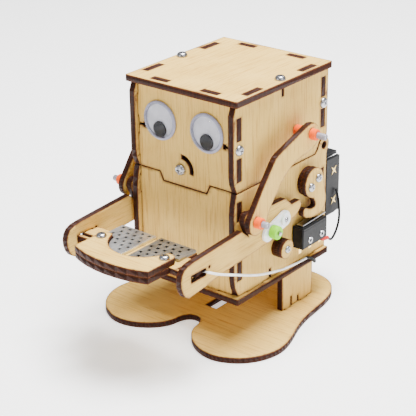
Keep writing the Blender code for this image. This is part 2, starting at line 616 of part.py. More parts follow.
def make_wires():
    right = [(35.9, -62.0, 51.0), (36.6, -55.0, 47.4), (36.4, -44.0, 42.6), (35.9, -28.0, 35.9),
             (35.0, -16.0, 32.0), (34.0, -4.0, 28.9), (33.3, 6.0, 27.2), (32.9, 17.2, 26.2),
             (33.2, 20.8, 24.4), (32.7, 23.8, 21.7), (30.4, 26.8, 20.9), (26.4, 28.6, 21.2)]
    for side, s in (("left", -1), ("right", 1)):
        path = [(s * x, y, z) for x, y, z in right]
        wire("wire_tray_" + side, path, 0.55, "white")
    black = [(29.7, 45.4, 51.8), (30.6, 45.8, 48.2), (31.5, 45.6, 44.2), (32.0, 45.3, 40.2), (32.2, 44.9, 36.6),
             (32.3, 43.4, 32.8), (32.6, 40.4, 29.7), (33.3, 36.6, 29.0), (33.8, 33.4, 31.0)]
    wire("wire_battery_black", black, 0.6, "black")
    red = [(34.2, 26.4, 33.4), (34.4, 28.4, 32.5), (34.2, 30.8, 31.9), (33.9, 32.9, 31.5)]
    wire("terminal_sleeve_red", red, 0.85, "red")


def main():
    clear_scene()
    make_base()
    make_body()
    make_power()
    make_head()
    make_arms()
    make_links()
    make_cam()
    make_wires()


main()
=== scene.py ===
"""Looks of the plywood coin-eating robot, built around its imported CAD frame."""

import json
import math

import bmesh
import bpy
import numpy as np
from mathutils import Matrix, Vector

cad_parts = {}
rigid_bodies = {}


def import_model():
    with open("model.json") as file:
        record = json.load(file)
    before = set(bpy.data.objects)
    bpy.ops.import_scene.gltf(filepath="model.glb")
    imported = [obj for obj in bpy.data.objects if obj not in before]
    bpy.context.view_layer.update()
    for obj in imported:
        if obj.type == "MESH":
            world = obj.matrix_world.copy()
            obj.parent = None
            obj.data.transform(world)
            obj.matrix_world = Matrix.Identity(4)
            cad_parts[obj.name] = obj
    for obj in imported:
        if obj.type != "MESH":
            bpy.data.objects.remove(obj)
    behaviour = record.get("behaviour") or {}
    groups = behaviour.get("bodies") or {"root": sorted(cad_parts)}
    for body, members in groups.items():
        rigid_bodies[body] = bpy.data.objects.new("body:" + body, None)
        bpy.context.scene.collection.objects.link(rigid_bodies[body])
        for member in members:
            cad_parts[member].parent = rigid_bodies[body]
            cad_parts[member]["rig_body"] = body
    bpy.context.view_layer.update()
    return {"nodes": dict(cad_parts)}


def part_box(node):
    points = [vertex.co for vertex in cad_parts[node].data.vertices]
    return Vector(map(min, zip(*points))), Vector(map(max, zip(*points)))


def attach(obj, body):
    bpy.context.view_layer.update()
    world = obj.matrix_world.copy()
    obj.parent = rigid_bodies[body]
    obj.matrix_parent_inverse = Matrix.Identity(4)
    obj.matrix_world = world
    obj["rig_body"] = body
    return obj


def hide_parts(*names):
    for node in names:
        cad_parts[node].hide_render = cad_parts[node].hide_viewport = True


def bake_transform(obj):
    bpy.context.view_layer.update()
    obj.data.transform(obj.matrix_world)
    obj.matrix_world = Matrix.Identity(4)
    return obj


for old in list(bpy.data.objects):
    bpy.data.objects.remove(old)
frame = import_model()

MM = 0.001

# every plywood sheet: the axis across it, then the axis along its grain
SHEETS = {
    "foot_base": "ZX",
    "leg_left": "XZ",
    "leg_right": "XZ",
    "bottom_plate": "ZX",
    "body_front_panel": "YZ",
    "body_rear_panel": "YZ",
    "body_side_left": "XZ",
    "body_side_right": "XZ",
    "lift_stop_left": "XY",
    "lift_stop_right": "XY",
    "head_top_plate": "ZY",
    "head_face_panel": "YZ",
    "head_rear_panel": "YZ",
    "head_side_left": "XZ",
    "head_side_right": "XZ",
    "hinge_bracket_left": "XZ",
    "hinge_bracket_right": "XZ",
    "arm_left": "XY",
    "arm_right": "XY",
    "tray_base": "ZX",
    "tray_cover": "ZX",
    "link_left": "XZ",
    "link_right": "XZ",
    "cam_hook": "XZ",
    "cam_spacer": "XZ",
}
EDGE_BEVEL = 0.1  # mm, softened arris of a laser cut
GRID = 2.0  # mm, spacing of the cuts that carry the scorch shading
SCORCH = 1.3  # mm, reach of the brown halo inwards from a cut
WELD = 0.002  # mm, points closer than this are made one
LEVEL = 0.5  # degrees, faces that lean less than this from each other are joined

SIDES = (("left", -1), ("right", 1))
CELL_LENGTH = 50.6  # mm
CELL_RADIUS = 6.9  # mm
HOLDER_FACE = 36.1  # mm, where the holder's deep part starts behind the body
HOLDER_WALL = 1.4  # mm
THREAD_PITCH = 0.7  # mm
PIN_RADIUS = 1.0  # mm
PIN_BORE = PIN_RADIUS + 0.02  # mm, inside of a sleeve on a pin
OUTER_SLEEVE = (39.3, 42.6)  # mm from the middle plane
INNER_SLEEVE = (30.5, 35.7)  # mm from the middle plane

LENS = 118.0
CAMERA_AT = (368.9, -467.9, 315.1)  # mm
CAMERA_LOOKS_AT = (-1.0, -16.0, 55.0)  # mm
CAMERA_ROLL = -0.8  # degrees
LIGHTS_AIM = (0, 0, 0.05)  # m


# ---- node helpers ------------------------------------------------------------
class Nodes:
    """Short calls for building one material's node tree."""

    def __init__(self, name):
        self.mat = bpy.data.materials.new(name)
        self.mat.use_nodes = True
        self.tree = self.mat.node_tree
        self.shader = self.tree.nodes["Principled BSDF"]

    def add(self, kind, values=None, **settings):
        node = self.tree.nodes.new(kind)
        for key, value in settings.items():
            setattr(node, key, value)
        for key, value in (values or {}).items():
            if isinstance(value, bpy.types.NodeSocket):
                self.tree.links.new(value, node.inputs[key])
            else:
                node.inputs[key].default_value = value
        return node

    def set(self, **values):
        for key, value in values.items():
            socket = self.shader.inputs[key.replace("_", " ")]
            if isinstance(value, bpy.types.NodeSocket):
                self.tree.links.new(value, socket)
            else:
                socket.default_value = value

    def noise(self, vector, scale, detail=3.0, rough=0.55):
        values = {"Vector": vector, "Scale": scale, "Detail": detail, "Roughness": rough}
        return self.add("ShaderNodeTexNoise", values).outputs["Fac"]

    def stretch(self, vector, scale):
        return self.add("ShaderNodeVectorMath", {0: vector, 1: scale}, operation="MULTIPLY").outputs[0]

    def ramp(self, fac, stops):
        node = self.add("ShaderNodeValToRGB", {"Fac": fac})
        band = node.color_ramp.elements
        while len(band) < len(stops):
            band.new(0.5)
        for element, (place, colour) in zip(band, stops):
            element.position = place
            element.color = colour if len(colour) == 4 else (*colour, 1)
        return node.outputs["Color"]

    def mix(self, fac, first, second, blend="MIX"):
        node = self.add("ShaderNodeMix", data_type="RGBA", blend_type=blend)
        for key, value in ((0, fac), (6, first), (7, second)):
            if isinstance(value, bpy.types.NodeSocket):
                self.tree.links.new(value, node.inputs[key])
            else:
                node.inputs[key].default_value = value if key == 0 else (*value, 1)
        return node.outputs[2]

    def math(self, operation, first, second=0.0, third=0.0):
        values = {0: first, 1: second, 2: third}
        return self.add("ShaderNodeMath", values, operation=operation).outputs[0]

    def bump(self, height, strength, distance):
        values = {"Height": height, "Strength": strength, "Distance": distance}
        self.set(Normal=self.add("ShaderNodeBump", values).outputs["Normal"])

    def attribute(self, name, output="Vector"):
        return self.add("ShaderNodeAttribute", attribute_name=name).outputs[output]

    def place(self):
        return self.add("ShaderNodeTexCoord").outputs["Object"]


# ---- materials ---------------------------------------------------------------
def plywood():
    """Pale birch faces with fine grain, and laser-scorched edges with their plies.

    sheet is (along the grain, across it, sheet number) in centimetres; scorch runs
    from 1 on a cut to 0 on clean wood; ply is the depth through the sheet, or below
    zero on the two faces.
    """
    n = Nodes("birch_plywood")
    sheet = n.attribute("sheet")
    scorch = n.attribute("scorch", "Fac")
    ply = n.attribute("ply", "Fac")
    cloud = n.noise(sheet, 0.55, 2.0)
    grain = n.noise(n.stretch(sheet, (0.35, 9.0, 3.0)), 1.6, 6.0, 0.62)
    fine = n.noise(n.stretch(sheet, (1.2, 60.0, 3.0)), 1.5, 3.0, 0.6)
    pore = n.noise(n.stretch(sheet, (5.0, 42.0, 3.0)), 1.3, 1.0, 0.5)
    base = n.ramp(cloud, [(0.3, (0.62, 0.395, 0.092)), (0.72, (0.71, 0.475, 0.13))])
    streak = n.ramp(grain, [(0.34, (0.64, 0.50, 0.36)), (0.5, (1, 1, 1)), (0.75, (1.0, 0.96, 0.88))])
    face = n.mix(0.75, base, streak, "MULTIPLY")
    thin = n.ramp(fine, [(0.36, (0.86, 0.80, 0.72)), (0.56, (1, 1, 1))])
    face = n.mix(0.5, face, thin, "MULTIPLY")
    flecks = n.ramp(pore, [(0.27, (0.66, 0.52, 0.38)), (0.33, (1, 1, 1))])
    face = n.mix(0.7, face, flecks, "MULTIPLY")
    # brown halo beside each cut, broken up by noise
    ragged = n.noise(sheet, 7.0, 2.0)
    reach = n.math("ADD", scorch, n.math("MULTIPLY", n.math("SUBTRACT", ragged, 0.5), 0.5))
    halo = n.ramp(reach, [(0.3, (0, 0, 0)), (0.72, (0.35, 0.35, 0.35)), (0.98, (0.95, 0.95, 0.95))])
    face = n.mix(halo, face, (0.17, 0.065, 0.022))
    # charred plies across the cut, streaked along the beam
    beam = n.noise(n.stretch(sheet, (7.0, 7.0, 0.4)), 2.0, 3.0)
    plies = n.ramp(ply, [
        (0.0, (0.070, 0.017, 0.0035)), (0.26, (0.036, 0.008, 0.002)), (0.34, (0.012, 0.0025, 0.001)),
        (0.42, (0.030, 0.0065, 0.0018)), (0.6, (0.025, 0.0055, 0.0016)), (0.68, (0.010, 0.002, 0.001)),
        (0.76, (0.034, 0.0075, 0.002)), (1.0, (0.064, 0.0155, 0.003)),
    ])
    patchy = n.ramp(beam, [(0.36, (0.55, 0.52, 0.5)), (0.68, (1.5, 1.45, 1.4))])
    edge = n.mix(0.8, plies, patchy, "MULTIPLY")
    is_edge = n.math("GREATER_THAN", ply, -0.25)
    n.set(Base_Color=n.mix(is_edge, face, edge), IOR=1.45, Specular_IOR_Level=0.18)
    n.set(Roughness=n.math("MULTIPLY_ADD", fine, 0.22, 0.5))
    relief = n.math("MULTIPLY_ADD", grain, 0.5, n.math("MULTIPLY", fine, 0.5))
    n.bump(relief, 0.22, 0.00012)
    return n.mat


def plastic(name, colour, rough=0.4, through=0.0, gloss=0.5):
    """Moulded plastic with a faint texture and slight unevenness of tone."""
    n = Nodes(name)
    place = n.place()
    tone = n.noise(place, 260.0, 2.0)
    low = tuple(c * 0.86 for c in colour)
    high = tuple(min(1.0, c * 1.08 + 0.004) for c in colour)
    n.set(Base_Color=n.ramp(tone, [(0.3, low), (0.7, high)]), IOR=1.5)
    skin = n.noise(place, 900.0, 2.0)
    n.set(Roughness=n.math("MULTIPLY_ADD", skin, 0.18, rough - 0.09))
    n.set(Specular_IOR_Level=gloss)
    if through:
        n.shader.inputs["Subsurface Weight"].default_value = through
        n.shader.inputs["Subsurface Radius"].default_value = (0.0016, 0.0012, 0.0008)
        n.shader.inputs["Subsurface Scale"].default_value = 1.0
    n.bump(skin, 0.12, 0.00004)
    return n.mat


def metal(name, colour, rough=0.28, lengthwise=(1.0, 1.0, 12.0)):
    """Plated or drawn metal, scratched along one direction."""
    n = Nodes(name)
    place = n.place()
    lines = n.noise(n.stretch(place, lengthwise), 420.0, 4.0, 0.6)
    stain = n.noise(place, 170.0, 3.0)
    low = tuple(c * 0.72 for c in colour)
    n.set(Base_Color=n.ramp(stain, [(0.3, low), (0.6, colour)]), Metallic=1.0)
    n.set(Roughness=n.math("MULTIPLY_ADD", lines, 0.3, rough - 0.12))
    n.bump(lines, 0.15, 0.00003)
    return n.mat


def clear_dome():
    """Thin vacuum-formed plastic: lets sight and light through, with a gloss."""
    n = Nodes("clear_dome")
    n.set(Base_Color=(0.05, 0.05, 0.06, 1), Roughness=0.035, IOR=1.5, Alpha=0.11)
    scuff = n.noise(n.place(), 500.0, 3.0)
    n.bump(scuff, 0.04, 0.00003)
    return n.mat


def printed_can():
    """A cell's wrap: a dark sleeve with one pale and one coloured band."""
    n = Nodes("cell_wrap")
    along = n.add("ShaderNodeSeparateXYZ", {0: n.place()}).outputs["X"]
    place = n.math("MULTIPLY_ADD", along, 1 / (CELL_LENGTH * MM), 0.5)
    bands = n.ramp(place, [
        (0.0, (0.55, 0.55, 0.56)), (0.03, (0.03, 0.045, 0.06)), (0.66, (0.03, 0.045, 0.06)),
        (0.665, (0.75, 0.72, 0.66)), (0.70, (0.75, 0.72, 0.66)), (0.705, (0.55, 0.22, 0.03)),
        (0.96, (0.55, 0.22, 0.03)), (0.97, (0.6, 0.6, 0.6)),
    ])
    n.set(Base_Color=bands, Metallic=0.35, Coat_Weight=0.4, Coat_Roughness=0.12)
    n.set(Roughness=n.math("MULTIPLY_ADD", n.noise(n.place(), 300.0), 0.16, 0.26))
    return n.mat


def make_materials():
    """Every material, by the short name that the pieces use."""
    return {
        "ply": plywood(),
        "steel": metal("bright_steel", (0.42, 0.42, 0.44), 0.24, (1, 1, 1)),
        "rod": metal("drawn_steel", (0.36, 0.36, 0.37), 0.28, (0.05, 1, 1)),
        "tin": metal("tinned_plate", (0.80, 0.80, 0.79), 0.34, (1, 0.08, 1)),
        # the darker metal of the right contact plate
        "darker_plate": metal("darker_plate_metal", (0.30, 0.29, 0.265), 0.42, (1, 0.08, 1)),
        "gold": metal("brass_contact", (0.86, 0.62, 0.24), 0.26, (1, 1, 1)),
        "orange": plastic("orange_sleeve", (0.90, 0.10, 0.0), 0.35, 0.0, 0.15),
        "green": plastic("lime_sleeve", (0.22, 0.66, 0.0), 0.35, 0.0, 0.15),
        "black": plastic("black_moulding", (0.007, 0.007, 0.008), 0.42, 0.0, 0.14),
        # also the thin black sheets of painted shade in the contact plates' holes
        "insulation_and_hole_shade": plastic("black_insulation_and_painted_shade", (0.006, 0.006, 0.007), 0.5, 0.0, 0.12),
        "white": plastic("white_insulation", (0.84, 0.84, 0.82), 0.42, 0.1),
        "nylon": plastic("natural_nylon", (0.80, 0.82, 0.80), 0.3, 0.5),
        "red": plastic("red_insulation", (0.5, 0.008, 0.004), 0.42, 0.0, 0.15),
        "pupil": plastic("pupil_black", (0.004, 0.004, 0.005), 0.4, 0.0, 0.15),
        "card": plastic("eye_back", (0.72, 0.72, 0.80), 0.5, 0.0, 0.2),
        "rim": plastic("eye_rim", (0.30, 0.30, 0.40), 0.28, 0.0, 0.3),
        "tube": plastic("clear_tube", (0.26, 0.245, 0.28), 0.22, 0.0, 0.5),
        "dome": clear_dome(),
        "cell": printed_can(),
    }


# ---- mesh helpers ------------------------------------------------------------
def body_of(node):
    """Name of the moving body that a CAD node belongs to."""
    return frame["nodes"][node]["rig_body"]


def box_mm(node):
    """Low and high corners of a node's box, in mm."""
    low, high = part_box(node)
    return low / MM, high / MM


def outermost_x(node):
    """How far a node reaches from the middle plane, in mm."""
    return max(abs(corner.x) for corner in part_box(node)) / MM


def finished(bm, name):
    """A mesh from a bmesh, which is freed."""
    mesh = bpy.data.meshes.new(name)
    bm.to_mesh(mesh)
    bm.free()
    return mesh


def linked(name, data):
    """A new object in the scene."""
    obj = bpy.data.objects.new(name, data)
    bpy.context.collection.objects.link(obj)
    return obj


def facing(direction, track="Z"):
    """The turn that points an axis, +Z unless another is named, along a direction."""
    return Vector(direction).to_track_quat(track, "Y")


def paint(obj, material):
    """Give an object one material and no other."""
    obj.data.materials.clear()
    obj.data.materials.append(mats[material])


def new_piece(name, mesh, material, body, replaces=(), slot=None):
    """Link a mesh as a piece that rides on a body."""
    obj = linked(name, mesh)
    paint(obj, material)
    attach(obj, body)
    if replaces:
        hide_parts(*replaces)
    return obj


def shade(mesh, degrees=35):
    """Smooth shading, broken at edges sharper than an angle."""
    mesh.shade_smooth()
    mesh.set_sharp_from_angle(angle=math.radians(degrees))


def clean_copy(node):
    """A bmesh of a CAD node, without doubled points or edges inside flat faces."""
    bm = bmesh.new()
    bm.from_mesh(frame["nodes"][node].data)
    bmesh.ops.remove_doubles(bm, verts=bm.verts, dist=WELD * MM)
    bmesh.ops.dissolve_limit(bm, angle_limit=math.radians(LEVEL), verts=bm.verts, edges=bm.edges)
    return bm


def outline_edges(bm, across):
    """Edges between a sheet's faces and its cut sides."""
    found = []
    for edge in bm.edges:
        if len(edge.link_faces) == 2:
            lean = [abs(f.normal[across]) for f in edge.link_faces]
            if max(lean) > 0.9 and min(lean) < 0.1:
                found.append(edge)
    return found


def distance_to(points, starts, ends):
    """Shortest distance from each point to any of the segments."""
    best = np.full(len(points), 1e9)
    for a, b in zip(starts, ends):
        run = b - a
        t = np.clip(((points - a) @ run) / max(run @ run, 1e-18), 0, 1)
        near = a + t[:, None] * run
        best = np.minimum(best, np.linalg.norm(points - near, axis=1))
    return best


def make_sheet(node, number):
    """One plywood sheet with soft arrises, and the data its scorched edges need."""
    across = "XYZ".index(SHEETS[node][0])
    along = "XYZ".index(SHEETS[node][1])
    third = 3 - across - along
    bm = clean_copy(node)
    rim = outline_edges(bm, across)
    starts = np.array([e.verts[0].co for e in rim])
    ends = np.array([e.verts[1].co for e in rim])
    low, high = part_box(node)
    bmesh.ops.bevel(bm, geom=rim, offset=EDGE_BEVEL * MM, segments=2, affect="EDGES", clamp_overlap=True)
    bmesh.ops.triangulate(bm, faces=bm.faces)
    for axis in (along, third):
        count = int((high[axis] - low[axis]) / (GRID * MM))
        for k in range(1, count + 1):
            cut = Vector((0, 0, 0))
            cut[axis] = low[axis] + (high[axis] - low[axis]) * k / (count + 1)
            side = Vector((0, 0, 0))
            side[axis] = 1
            faces = [f for f in bm.faces if abs(f.normal[across]) > 0.9]
            edges = list({e for f in faces for e in f.edges})
            points = list({v for f in faces for v in f.verts})
            bmesh.ops.bisect_plane(bm, geom=faces + edges + points, plane_co=cut, plane_no=side, dist=1e-7)
    mesh = finished(bm, node + "_ply")
    mark_sheet(mesh, node, number, (along, third, across), (low, high), (starts, ends))


def mark_sheet(mesh, node, number, axes, box, rim):
    """Write the sheet, scorch and ply data on a sheet's face corners."""
    along, third, across = axes
    low, high = box
    co = np.empty(len(mesh.vertices) * 3)
    mesh.vertices.foreach_get("co", co)
    co = co.reshape(-1, 3)
    gap = distance_to(co, *rim) / (SCORCH * MM)
    normals = np.empty(len(mesh.polygons) * 3)
    mesh.polygons.foreach_get("normal", normals)
    flat = np.abs(normals.reshape(-1, 3)[:, across]) > 0.75
    counts = np.array([p.loop_total for p in mesh.polygons])
    corner_flat = np.repeat(flat, counts)
    index = np.array([corner.vertex_index for corner in mesh.loops])
    depth = (co[:, across] - low[across]) / (high[across] - low[across])
    ply = np.where(corner_flat, -1.0, depth[index])
    scorch = np.clip(1 - gap[index], 0, 1)
    offset = 3.7 * number
    sheet = np.stack([co[:, along] * 100 + offset, co[:, third] * 100 - offset, depth * 0.3 + number], 1)
    mesh.attributes.new("ply", "FLOAT", "CORNER").data.foreach_set("value", ply.astype(np.float32))
    mesh.attributes.new("scorch", "FLOAT", "CORNER").data.foreach_set("value", scorch.astype(np.float32))
    data = mesh.attributes.new("sheet", "FLOAT_VECTOR", "POINT").data
    data.foreach_set("vector", sheet.astype(np.float32).ravel())
    shade(mesh)
    new_piece(node + "_ply", mesh, "ply", body_of(node), [node], node)


def lathe(name, profile, centre, axis, material, body, segments=40, **links):
    """A turned piece.  profile is (mm along the axis, radius), from one end to the other."""
    bm = bmesh.new()
    rings = []
    turn = [2 * math.pi * k / segments for k in range(segments)]
    for along, radius in profile:
        if radius == 0:
            rings.append([bm.verts.new((0, 0, along * MM))] * segments)
            continue
        points = [(radius * math.cos(t) * MM, radius * math.sin(t) * MM, along * MM) for t in turn]
        rings.append([bm.verts.new(point) for point in points])
    open_ends = profile[0][1] != 0
    for i in range(len(rings) - (0 if open_ends else 1)):
        lower, upper = rings[i], rings[(i + 1) % len(rings)]
        for k in range(segments):
            j = (k + 1) % segments
            corners = list(dict.fromkeys([lower[k], lower[j], upper[j], upper[k]]))
            if len(corners) > 2:
                bm.faces.new(corners)
    bmesh.ops.recalc_face_normals(bm, faces=bm.faces)
    mesh = finished(bm, name)
    mesh.transform(Matrix.Translation(Vector(centre) * MM) @ facing(axis).to_matrix().to_4x4())
    shade(mesh)
    return new_piece(name, mesh, material, body, **links)


def rounded_box(name, low, high, bevel, material, body, **links):
    """A box between two corners in mm, with rounded edges."""
    low, high = Vector(low), Vector(high)
    bm = bmesh.new()
    bmesh.ops.create_cube(bm, size=1)
    for v in bm.verts:
        v.co = [(low[k] + (v.co[k] + 0.5) * (high[k] - low[k])) * MM for k in range(3)]
    bmesh.ops.bevel(bm, geom=bm.edges, offset=bevel * MM, segments=3, affect="EDGES", clamp_overlap=True)
    mesh = finished(bm, name)
    shade(mesh)
    return new_piece(name, mesh, material, body, **links)


def carve(obj, cutters):
    """Cut solid cutters out of a piece, exactly, and remove them."""
    for cutter in cutters:
        mod = obj.modifiers.new("cut", "BOOLEAN")
        mod.operation = "DIFFERENCE"
        mod.solver = "EXACT"
        mod.object = cutter
        graph = bpy.context.evaluated_depsgraph_get()
        graph.update()
        mesh = bpy.data.meshes.new_from_object(obj.evaluated_get(graph))
        obj.modifiers.clear()
        obj.data = mesh
    for cutter in cutters:
        bpy.data.objects.remove(cutter)
    shade(obj.data, 30)


def screw(name, centre, outward, radius, height, body, shank=None, turn=20.0, **links):
    """A pan-head screw with a cross recess.

    centre is under the head, in mm; shank is (radius, length), or None for a head alone.
    """
    angles = [math.radians(a) for a in range(15, 91, 15)]
    dome = [(height * math.sin(t), radius * (0.42 + 0.58 * math.cos(t))) for t in angles]
    below = [(0, 0)]
    if shank:
        core, length = shank
        below = [(-length, 0), (-length + 0.4, core * 0.6)]
        for k in range(int((length - 0.8) / THREAD_PITCH)):
            at = -length + 0.6 + k * THREAD_PITCH
            below += [(at, core * 0.78), (at + THREAD_PITCH / 2, core)]
        below.append((0, core * 0.85))
    profile = below + [(0, radius)] + dome + [(height, 0)]
    head = lathe(name, profile, (0, 0, 0), (0, 0, 1), "steel", body, 32, **links)
    cutters = []
    for spin in (0, 90):
        bm = bmesh.new()
        size = (radius * 1.15, radius * 0.25, height * 1.1)
        bmesh.ops.create_cube(bm, size=1)
        for v in bm.verts:
            taper = 1.0 if v.co.z > 0 else 0.6
            v.co = (v.co.x * size[0] * taper * MM, v.co.y * size[1] * taper * MM, v.co.z * size[2] * MM)
        spot = Matrix.Translation((0, 0, height * MM))
        spun = Matrix.Rotation(math.radians(spin + turn), 4, "Z")
        bmesh.ops.transform(bm, matrix=spot @ spun, verts=bm.verts)
        cutters.append(linked("recess", finished(bm, "recess")))
    carve(head, cutters)
    head.data.transform(Matrix.Translation(Vector(centre) * MM) @ facing(outward).to_matrix().to_4x4())
    paint(head, "steel")


def middle(node):
    """Centre of a node's box, in mm."""
    low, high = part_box(node)
    return (low + high) / 2 / MM


def restyle(node, material, bevel=0.12):
    """A CAD node's own shape with softened edges and a finer material."""
    bm = clean_copy(node)
    sharp = [e for e in bm.edges if len(e.link_faces) == 2 and e.calc_face_angle(0) > 0.7]
    bmesh.ops.bevel(bm, geom=sharp, offset=bevel * MM, segments=2, affect="EDGES", clamp_overlap=True)
    mesh = finished(bm, node + "_look")
    shade(mesh)
    return new_piece(node + "_look", mesh, material, body_of(node), replaces=[node], slot=node)


def prisms(outlines, axis, low, high):
    """Cutters: outlines in mm, drawn out along an axis between two levels."""
    k = "XYZ".index(axis)
    u, v = [(1, 2), (0, 2), (0, 1)][k]
    bm = bmesh.new()
    for outline in outlines:
        ends = []
        for level in (low, high):
            ring = []
            for a, b in outline:
                spot = [0, 0, 0]
                spot[k], spot[u], spot[v] = level * MM, a * MM, b * MM
                ring.append(bm.verts.new(spot))
            ends.append(ring)
            bm.faces.new(ring)
        for i in range(len(outline)):
            j = (i + 1) % len(outline)
            bm.faces.new([ends[0][i], ends[0][j], ends[1][j], ends[1][i]])
    bmesh.ops.recalc_face_normals(bm, faces=bm.faces)
    return linked("cutter", finished(bm, "cutter"))


def ring_points(a, b, radius, count, inner=None, turn=0.0):
    """A circle's points, or a star's where inner is its smaller radius."""
    points = []
    for k in range(count):
        t = 2 * math.pi * k / count + turn
        r = inner if inner and k % 2 else radius
        points.append((a + r * math.cos(t), b + r * math.sin(t)))
    return points


def rectangle(a0, a1, b0, b1):
    """A rectangle's corners, in order."""
    return [(a0, b0), (a1, b0), (a1, b1), (a0, b1)]


def tube(name, route, radius, material, body, sides=14, **links):
    """A round tube through the points of a route, in mm, with closed ends.

    Without a body it is left free, for a wire that bends between two bodies.
    """
    points = [Vector(q) for q in route]
    bm = bmesh.new()
    rings = []
    side = Vector((1, 0, 0))
    for i, here in enumerate(points):
        ahead = (points[min(i + 1, len(points) - 1)] - points[max(i - 1, 0)]).normalized()
        side = (side - ahead * side.dot(ahead)).normalized()
        up = ahead.cross(side)
        ring = []
        for k in range(sides):
            t = 2 * math.pi * k / sides
            ring.append(bm.verts.new((here + (side * math.cos(t) + up * math.sin(t)) * radius) * MM))
        rings.append(ring)
    for lower, upper in zip(rings, rings[1:]):
        for k in range(sides):
            j = (k + 1) % sides
            bm.faces.new([lower[k], lower[j], upper[j], upper[k]])
    bm.faces.new(list(reversed(rings[0])))
    bm.faces.new(rings[-1])
    mesh = finished(bm, name)
    shade(mesh, 50)
    if body:
        return new_piece(name, mesh, material, body, **links)
    obj = linked(name, mesh)
    paint(obj, material)
    return obj


def spring(name, start, s, turns, slot):
    """A short conical contact spring along X, from a cell's flat end outwards."""
    x, y, z = start
    route = []
    steps = 16
    count = int(turns * steps)
    for k in range(count + 1):
        t = 2 * math.pi * k / steps
        r = 1.3 + 1.5 * k / count
        route.append((x + s * 0.6 * k / count * turns, y + r * math.cos(t), z + r * math.sin(t)))
    tube(name, route, 0.28, "steel", "body", 8, slot=slot)


def curve_through(points, steps=10):
    """A smooth curve through a route's own points."""
    p = [Vector(q) for q in points]
    p = [2 * p[0] - p[1]] + p + [2 * p[-1] - p[-2]]
    path = []
    for i in range(1, len(p) - 2):
        for s in range(steps):
            t = s / steps
            a = 2 * p[i] + (p[i + 1] - p[i - 1]) * t
            b = (2 * p[i - 1] - 5 * p[i] + 4 * p[i + 1] - p[i + 2]) * t * t
            c = (3 * p[i] - p[i - 1] - 3 * p[i + 1] + p[i + 2]) * t ** 3
            path.append((a + b + c) * 0.5)
    path.append(p[-2])
    return path


# ---- camera and studio -------------------------------------------------------
def make_camera():
    """The camera, at the viewing angle of the reference."""
    data = bpy.data.cameras.new("camera")
    data.lens = LENS
    data.sensor_width = 36
    data.clip_start, data.clip_end = 0.01, 20
    obj = linked("camera", data)
    here, there = Vector(CAMERA_AT) * MM, Vector(CAMERA_LOOKS_AT) * MM
    look = facing(there - here, "-Z").to_matrix().to_4x4()
    roll = Matrix.Rotation(math.radians(CAMERA_ROLL), 4, "Z")
    obj.matrix_world = Matrix.Translation(here) @ look @ roll
    bpy.context.scene.camera = obj


def area_light(name, at, power, size):
    """A soft square light at a place in metres, aimed at the robot's middle."""
    data = bpy.data.lights.new(name, "AREA")
    data.energy = power
    data.size = size
    obj = linked(name, data)
    obj.location = at
    obj.rotation_euler = facing(Vector(LIGHTS_AIM) - Vector(at), "-Z").to_euler()


def make_studio():
    """A plain pale floor under plain white light."""
    bm = bmesh.new()
    bmesh.ops.create_grid(bm, x_segments=1, y_segments=1, size=6)
    floor = linked("floor", finished(bm, "floor"))
    n = Nodes("studio_floor")
    n.set(Base_Color=(0.92, 0.92, 0.92, 1), Roughness=0.9)
    n.set(Emission_Color=(1, 1, 1, 1), Emission_Strength=0.75)
    floor.data.materials.append(n.mat)
    world = bpy.data.worlds.new("studio")
    world.use_nodes = True
    sky = world.node_tree.nodes["Background"].inputs
    sky["Color"].default_value = (1, 1, 1, 1)
    sky["Strength"].default_value = 0.42
    bpy.context.scene.world = world
    area_light("top", (0.1, 0.15, 1.0), 42.0, 0.5)
    area_light("right", (0.85, -0.15, 0.55), 3.0, 0.6)
    area_light("front", (-0.25, -0.95, 0.45), 2.6, 0.6)


# ---- pieces ------------------------------------------------------------------
def make_sheets():
    """Every plywood sheet."""
    for number, node in enumerate(SHEETS):
        make_sheet(node, number)


def make_screws():
    """Screws at the CAD screws' places, and those in the sheets' nut slots."""
    specs = {
        "top_screw_left": ("Z", 1, 2.6, 1.8, (0.6, 6.6)),
        "top_screw_right": ("Z", 1, 2.6, 1.8, (0.6, 6.6)),
        "nose_screw": ("Y", -1, 2.8, 2.0, (1.0, 6.4)),
        "tray_screw_left": ("Z", 1, 2.5, 1.5, (0.95, 7.4)),
        "tray_screw_right": ("Z", 1, 2.5, 1.5, (0.95, 7.4)),
        "cam_screw_upper": ("X", 1, 2.2, 1.3, (0.85, 2.9)),
        "cam_screw_lower": ("X", 1, 2.2, 1.3, (0.85, 2.9)),
    }
    for count, (node, (axis, sign, radius, height, shank)) in enumerate(specs.items()):
        k = "XYZ".index(axis)
        low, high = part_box(node)
        at = middle(node)
        at[k] = (high[k] if sign > 0 else low[k]) / MM - sign * height
        out = [0, 0, 0]
        out[k] = sign
        screw(node + "_head", at, out, radius, height, body_of(node), shank, 20 + 37 * count,
              replaces=[node], slot=node)
    for side, s in SIDES:
        face = outermost_x("head_side_" + side)
        for place, y, z in (("front", -32.0, 96.4), ("rear", 32.0, 100.3)):
            screw("head_side_screw_%s_%s" % (place, side), (s * (face + 0.05), y, z), (s, 0, 0), 2.6, 1.5,
                  "head", None, 15 + y, slot="top_screw_" + side)
        stop = middle("lift_stop_" + side)
        face = outermost_x("lift_stop_" + side)
        screw("stop_screw_" + side, (s * (face + 0.02), stop.y, stop.z), (s, 0, 0), 1.9, 1.0,
              "body", None, 33, slot="arm_axle")


